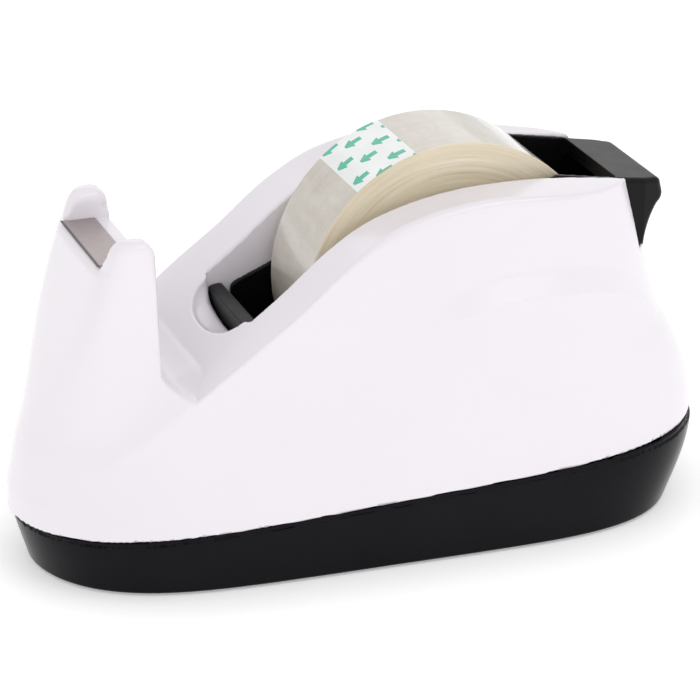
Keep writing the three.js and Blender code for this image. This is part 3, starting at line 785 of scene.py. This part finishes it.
def label_film():
    made = Surface("label_film", (0.84, 0.86, 0.85), 0.3, coat_weight=0.4, coat_roughness=0.1)
    where = made.place()
    made.paint(made.noise(where, 80, 4), [(0.3, (0.8, 0.82, 0.82)), (0.7, (0.88, 0.89, 0.89))])
    made.bump(made.noise(where, 400, 3), 0.0001, 0.3)
    return made.material


def label_ink():
    made = Surface("label_ink", (0.035, 0.45, 0.3), 0.35, coat_weight=0.4, coat_roughness=0.1)
    where = made.place()
    made.paint(made.noise(where, 300, 5), [(0.3, (0.03, 0.41, 0.27)), (0.7, (0.05, 0.5, 0.34))])
    return made.material


def floor_paint():
    """A white table that gives off a little light, so that it stays white under soft light."""
    glow = {"emission_color": (1, 1, 1, 1), "emission_strength": 0.3}
    made = Surface("studio_floor", (0.9, 0.9, 0.9), 0.6, **glow)
    where = made.place()
    made.paint(made.noise(where, 4, 3), [(0.3, (0.89, 0.89, 0.89)), (0.7, (0.91, 0.91, 0.91))])
    return made.material


WHITE, BLACK, CRADLE = white_plastic(), black_plastic(), cradle_plastic()
BLADE_STEEL = cutter_steel()
ZINC = brushed("screw_zinc", (0.62, 0.62, 0.58), (900, 900, 900), 0.3)
AXLE_STEEL = brushed("axle_steel", (0.62, 0.62, 0.62), (60, 3000, 60), 0.25)
IRON, RUBBER, HUB = cast_iron(), rubber(), hub_plastic()
FILM_SIDE, FILM_FACE, BOARD = film_side(), film_face(), core_board()
LABEL, INK = label_film(), label_ink()


def fit(piece, material, body, slot, *nodes):
    """Gives a piece its material and its body, and hides the CAD nodes it stands for. The slot is not used.
    """
    if material is not None:
        piece.data.materials.clear()
        piece.data.materials.append(material)
    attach(piece, body)
    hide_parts(*nodes)
    return piece


# ---- The case -------------------------------------------------------------------------------------

shell = moulded("shell_moulding", shell_field, SHELL_LOW, SHELL_HIGH, 1.15)
base = moulded("base_moulding", base_field, BASE_LOW, BASE_HIGH, 1.15)
cradle = moulded("cradle_moulding", cradle_field, FRAME_LOW, FRAME_HIGH, 0.9)
fit(shell, WHITE, "case", "white_abs", "upper_shell")
fit(base, BLACK, "case", "black_abs", "base_shell")
fit(cradle, CRADLE, "case", "black_abs", "inner_frame")


def build_blade():
    """The cutter: a flat plate with its front strip bent up, ground thin and toothed."""
    teeth, thick = 36, 0.8
    rear, fold, roots, tips = BLADE_HIGH[0], -114.6, -118.1, BLADE_LOW[0] + 0.05
    under = LAND_Z + 0.2
    tilt = math.tan(math.radians(12))
    stations = [(rear, 0, thick), (rear - 0.4, 0, thick), (fold + 0.3, 0, thick)]
    for x, thickness in ((fold - 0.3, thick), (fold - 1.6, thick), (roots, 0.45), (tips, 0.12)):
        stations.append((x, (fold - x) * tilt, thickness))
    columns = 2 * teeth + 1
    mesh = bmesh.new()
    layers = []
    for x, lift, thickness in stations:
        row = []
        for i in range(columns):
            y = mix(-BLADE_HIGH[1], BLADE_HIGH[1], i / (columns - 1))
            px, pz, pt = x, lift, thickness
            if x == tips and i % 2 == 0:
                px, pz, pt = stations[-2]
            low = mesh.verts.new((px * MM, y * MM, (under + pz) * MM))
            high = mesh.verts.new((px * MM, y * MM, (under + pz + pt) * MM))
            row.append((low, high))
        layers.append(row)
    for a, b in zip(layers, layers[1:]):
        for i in range(columns - 1):
            mesh.faces.new((a[i][1], a[i + 1][1], b[i + 1][1], b[i][1]))
            mesh.faces.new((a[i][0], b[i][0], b[i + 1][0], a[i + 1][0]))
        for i in (0, columns - 1):
            mesh.faces.new((a[i][0], a[i][1], b[i][1], b[i][0]))
    for row in (layers[0], layers[-1]):
        for i in range(columns - 1):
            mesh.faces.new((row[i][0], row[i + 1][0], row[i + 1][1], row[i][1]))
    bmesh.ops.remove_doubles(mesh, verts=mesh.verts, dist=1e-6)
    bmesh.ops.dissolve_degenerate(mesh, edges=mesh.edges, dist=1e-6)
    bmesh.ops.recalc_face_normals(mesh, faces=mesh.faces)
    data = bpy.data.meshes.new("cutter_blade")
    mesh.to_mesh(data)
    mesh.free()
    data.shade_smooth()
    piece = new_object("cutter_blade", data)
    sharpen(piece, 20)
    return piece


fit(build_blade(), BLADE_STEEL, "case", "blade_steel", "cutting_blade")


def build_foot(name, centre):
    """A rubber foot: a disc with a rounded rim and two shallow rings in its sole."""
    profile = [
        (0.0, 2.0), (6.4, 2.0), (6.9, 1.6), (7.0, 1.0), (6.9, 0.35), (6.5, 0.0), (5.6, 0.0), (5.4, 0.25),
        (4.9, 0.25), (4.7, 0.0), (3.4, 0.0), (3.2, 0.25), (2.7, 0.25), (2.5, 0.0), (0.0, 0.0),
    ]
    piece = turned(name, profile, 48, (0, 0), closed=False)
    piece.data.transform(Matrix.Rotation(math.pi / 2, 4, "X"))
    piece.data.transform(Matrix.Translation((centre[0] * MM, centre[1] * MM, 0)))
    if piece.data.polygons[0].normal.z < 0:
        piece.data.flip_normals()
    sharpen(piece)
    return piece


for i, centre in enumerate(FEET):
    name = f"rubber_foot_{i + 1}"
    fit(build_foot(f"foot_pad_{i + 1}", centre), RUBBER, "case", "foot_rubber", name)


def build_ballast(name, node):
    low, high = box_mm(node)
    middle, half = (low + high) / 2, (high - low) / 2
    piece = moulded(name, ballast_field(*half), -half, half, 1.6)
    piece.data.transform(Matrix.Translation(Vector(middle * MM)))
    return fit(piece, IRON, "case", "ballast_iron", node)


build_ballast("weight_left", "ballast_left")
build_ballast("weight_right", "ballast_right")


def build_screws(kind, count, head_down):
    """One screw's mesh, used at each place where the CAD model has that screw."""
    low, high = box_mm(f"{kind}_1")
    head = (high[0] - low[0]) / 2
    size = (2.2, 1.5) if head > 3 else (1.8, 1.4)
    length = high[2] - low[2] - size[0]
    field = screw_field(head - 0.02, size[0] - 0.02, size[1] - 0.02, length - 0.1)
    first = moulded(f"{kind}_solid_1", field, (-head, -head, -length), (head, head, size[0]), 0.3)
    for i in range(count):
        low, high = box_mm(f"{kind}_{i + 1}")
        name = f"{kind}_solid_{i + 1}"
        piece = first if i == 0 else new_object(name, first.data)
        middle = (low + high) / 2
        seat = low[2] + size[0] if head_down else high[2] - size[0]
        place = Matrix.Translation((middle[0] * MM, middle[1] * MM, seat * MM))
        turn = Matrix.Rotation(math.radians(20 + 37 * i), 4, "Z")
        flip = Matrix.Rotation(math.pi, 4, "X") if head_down else Matrix.Identity(4)
        piece.matrix_world = place @ flip @ turn
        fit(piece, ZINC, "case", "screw_zinc", f"{kind}_{i + 1}")


build_screws("case_screw", 4, head_down=True)
build_screws("ballast_screw", 4, head_down=False)
build_screws("frame_screw", 4, head_down=False)

# ---- The reel -------------------------------------------------------------------------------------

REEL_CENTRE = (REEL_X, REEL_Z)


def build_axle():
    end, radius, collar = AXLE_HIGH[1], 4.0, AXLE_HIGH[0] - REEL_X
    inner, outer = TAPE_HALF + 1.4, TAPE_HALF + 3.0
    half = [
        (0.0, end), (radius - 0.6, end), (radius, end - 0.6), (radius, outer), (collar - 0.3, outer),
        (collar, outer - 0.3), (collar, inner + 0.3), (collar - 0.3, inner), (radius, inner), (radius, 0.0),
    ]
    profile = half + [(r, -a) for r, a in reversed(half[:-1])]
    piece = turned("axle_bar", profile, 64, REEL_CENTRE, closed=False)
    sharpen(piece)
    return fit(piece, AXLE_STEEL, "axle", "axle_steel", "reel_axle")


def build_hub():
    rim, end = CORE_BORE - GAP, TAPE_HALF + 1
    for side, name in ((1, "right"), (-1, "left")):
        piece = moulded(f"hub_{name}", hub_field, (-rim, 0, -rim), (rim, end, rim), 0.8)
        if side < 0:
            piece.data.transform(Matrix.Rotation(math.pi, 4, "Z"))
        piece.data.transform(Matrix.Translation((REEL_X * MM, 0, REEL_Z * MM)))
        fit(piece, HUB, "reel", "hub_plastic", f"hub_half_{name}")


def build_core():
    half, inner, outer = TAPE_HALF, CORE_BORE, CORE_RADIUS
    corner = 0.25
    profile = [
        (inner + corner, -half), (outer - corner, -half), (outer, -half + corner), (outer, half - corner),
        (outer - corner, half), (inner + corner, half), (inner, half - corner), (inner, -half + corner),
    ]
    piece = turned("core_tube", profile, 128, REEL_CENTRE)
    sharpen(piece)
    return fit(piece, BOARD, "reel", "core_board", "tape_core")


def build_roll():
    """The wound film. Its sides are slightly uneven, as the turns never line up exactly."""
    inner, outer, half = CORE_RADIUS + GAP, TAPE_RADIUS, TAPE_HALF
    rings = 40
    rng = np.random.default_rng(8)
    profile = []
    for side in (-1, 1):
        radii = np.linspace(inner, outer - 0.25, rings)
        sunk = half - 0.03 - 0.12 * np.abs(rng.normal(0, 0.5, rings)).clip(0, 1)
        face = list(zip(radii, side * sunk))
        edge = [(outer, side * (half - 0.25))]
        profile += face + edge if side < 0 else edge + face[::-1]
    piece = turned("film_winding", profile, 256, REEL_CENTRE)
    sharpen(piece, 50)
    piece.data.materials.append(FILM_SIDE)
    piece.data.materials.append(FILM_FACE)
    for face in piece.data.polygons:
        face.material_index = 1 if abs(face.normal.y) < 0.5 else 0
    return fit(piece, None, "reel", "tape_film", "tape_roll")


LABEL_FROM, LABEL_TO = math.radians(105.4), math.radians(131.2)


def on_roll(angle, y, lift):
    radius = (TAPE_RADIUS + lift) * MM
    return (REEL_X * MM + radius * math.cos(angle), y * MM, REEL_Z * MM + radius * math.sin(angle))


def patch(name, rows):
    """A thin closed sheet round the roll. rows is a list of (angle, lowest y, highest y, lift)."""
    mesh = bmesh.new()
    across = 6
    under, over = [], []
    for angle, y0, y1, lift in rows:
        ys = np.linspace(y0, y1, across)
        under.append([mesh.verts.new(on_roll(angle, y, 0.01)) for y in ys])
        over.append([mesh.verts.new(on_roll(angle, y, lift)) for y in ys])
    for i in range(len(rows) - 1):
        for j in range(across - 1):
            mesh.faces.new((over[i][j], over[i][j + 1], over[i + 1][j + 1], over[i + 1][j]))
            mesh.faces.new((under[i][j], under[i + 1][j], under[i + 1][j + 1], under[i][j + 1]))
        for j in (0, across - 1):
            mesh.faces.new((under[i][j], over[i][j], over[i + 1][j], under[i + 1][j]))
    for i in (0, len(rows) - 1):
        for j in range(across - 1):
            mesh.faces.new((under[i][j], under[i][j + 1], over[i][j + 1], over[i][j]))
    bmesh.ops.recalc_face_normals(mesh, faces=mesh.faces)
    data = bpy.data.meshes.new(name)
    mesh.to_mesh(data)
    mesh.free()
    data.shade_smooth()
    piece = new_object(name, data)
    sharpen(piece, 40)
    return piece


def build_label():
    steps = 24
    rows = [(mix(LABEL_FROM, LABEL_TO, i / steps), -TAPE_HALF, TAPE_HALF, 0.1) for i in range(steps + 1)]
    return fit(patch("start_tab", rows), LABEL, "reel", "label_film", "start_label")


ARROW_LENGTH, HEAD_LENGTH, HEAD_HALF, SHAFT_HALF = 8.9, 4.8, 3.9, 1.7
ARROW_PITCH, ROW_PITCH = 18.6, 8.7
FIRST_ARROW_Y, ROW_SHIFT = 3.3, 7.6


def build_arrow(name, tip, y):
    """A printed arrow, its tip tip millimetres from the tab's front edge, cut off at its edges."""
    length = (LABEL_TO - LABEL_FROM) * TAPE_RADIUS
    widths = [(s, HEAD_HALF * s / HEAD_LENGTH) for s in np.linspace(0, HEAD_LENGTH, 5)]
    widths += [(s, SHAFT_HALF) for s in np.linspace(HEAD_LENGTH + 0.01, ARROW_LENGTH, 5)]
    rows = []
    for s, half in widths:
        along = tip + s
        low, high = max(y - half, -TAPE_HALF), min(y + half, TAPE_HALF)
        if 0 <= along <= length and high - low > 0:
            rows.append((LABEL_TO - along / TAPE_RADIUS, low, high, 0.13))
    if len(rows) > 1:
        fit(patch(name, rows), INK, "reel", "label_film", "start_label")


def build_print():
    for row in range(4):
        for column in range(-2, 3):
            y = FIRST_ARROW_Y + ARROW_PITCH * column - ROW_SHIFT * (row % 2)
            if abs(y) < TAPE_HALF + 3:
                build_arrow(f"arrow_{row + 1}_{column + 3}", 0.2 + ROW_PITCH * row, y)


build_axle()
build_hub()
build_core()
build_roll()
build_label()
build_print()

# ---- Studio ---------------------------------------------------------------------------------------


def build_floor():
    mesh = bmesh.new()
    bmesh.ops.create_grid(mesh, x_segments=8, y_segments=8, size=4)
    data = bpy.data.meshes.new("floor")
    mesh.to_mesh(data)
    mesh.free()
    floor = new_object("floor", data)
    floor.data.materials.append(floor_paint())


def add_light(name, place, target, size, power):
    data = bpy.data.lights.new(name, "AREA")
    data.shape = "RECTANGLE"
    data.size, data.size_y = size
    data.energy = power
    light = bpy.data.objects.new(name, data)
    bpy.context.scene.collection.objects.link(light)
    light.location = place
    light.rotation_euler = (Vector(target) - Vector(place)).to_track_quat("-Z", "Y").to_euler()


def build_world():
    """Soft white light from all round."""
    world = bpy.data.worlds.new("studio")
    bpy.context.scene.world = world
    world.use_nodes = True
    background = world.node_tree.nodes["Background"]
    background.inputs["Color"].default_value = (1, 1, 1, 1)
    background.inputs["Strength"].default_value = 0.867


def build_studio():
    build_floor()
    build_world()
    scene = bpy.context.scene
    middle = (0, 0, 0.1)
    add_light("crest_strip", (0.36, -0.4, 1.0), middle, (0.9, 0.07), 1.3)
    add_light("ledge_strip", (0.5, -1.5, 0.55), middle, (1.3, 0.2), 1.2)
    add_light("back_strip", (0.45, 1.3, 0.68), middle, (1.6, 0.5), 1.0)
    add_light("front", (-0.5, -1.2, 0.7), middle, (0.5, 0.3), 0.4)
    add_light("nose_side", (-1.1, -0.2, 0.5), middle, (0.3, 0.4), 0.5)
    scene.view_settings.view_transform = "Standard"
    scene.view_settings.look = "None"


def build_camera():
    """The view of the reference picture: from the near side, a little round to the nose, and above."""
    azimuth, elevation = math.radians(-20.02), math.radians(22.525)
    data = bpy.data.cameras.new("camera")
    data.sensor_width = 36
    data.lens = 172.1
    data.clip_end = 50
    camera = bpy.data.objects.new("camera", data)
    bpy.context.scene.collection.objects.link(camera)
    camera.location = Vector((-443.7, -1209.8, 608.2)) * MM
    back = Vector((
        math.sin(azimuth) * math.cos(elevation),
        -math.cos(azimuth) * math.cos(elevation),
        math.sin(elevation),
    ))
    camera.rotation_mode = "QUATERNION"
    camera.rotation_quaternion = (-back).to_track_quat("-Z", "Y")
    bpy.context.scene.camera = camera


build_studio()
build_camera()
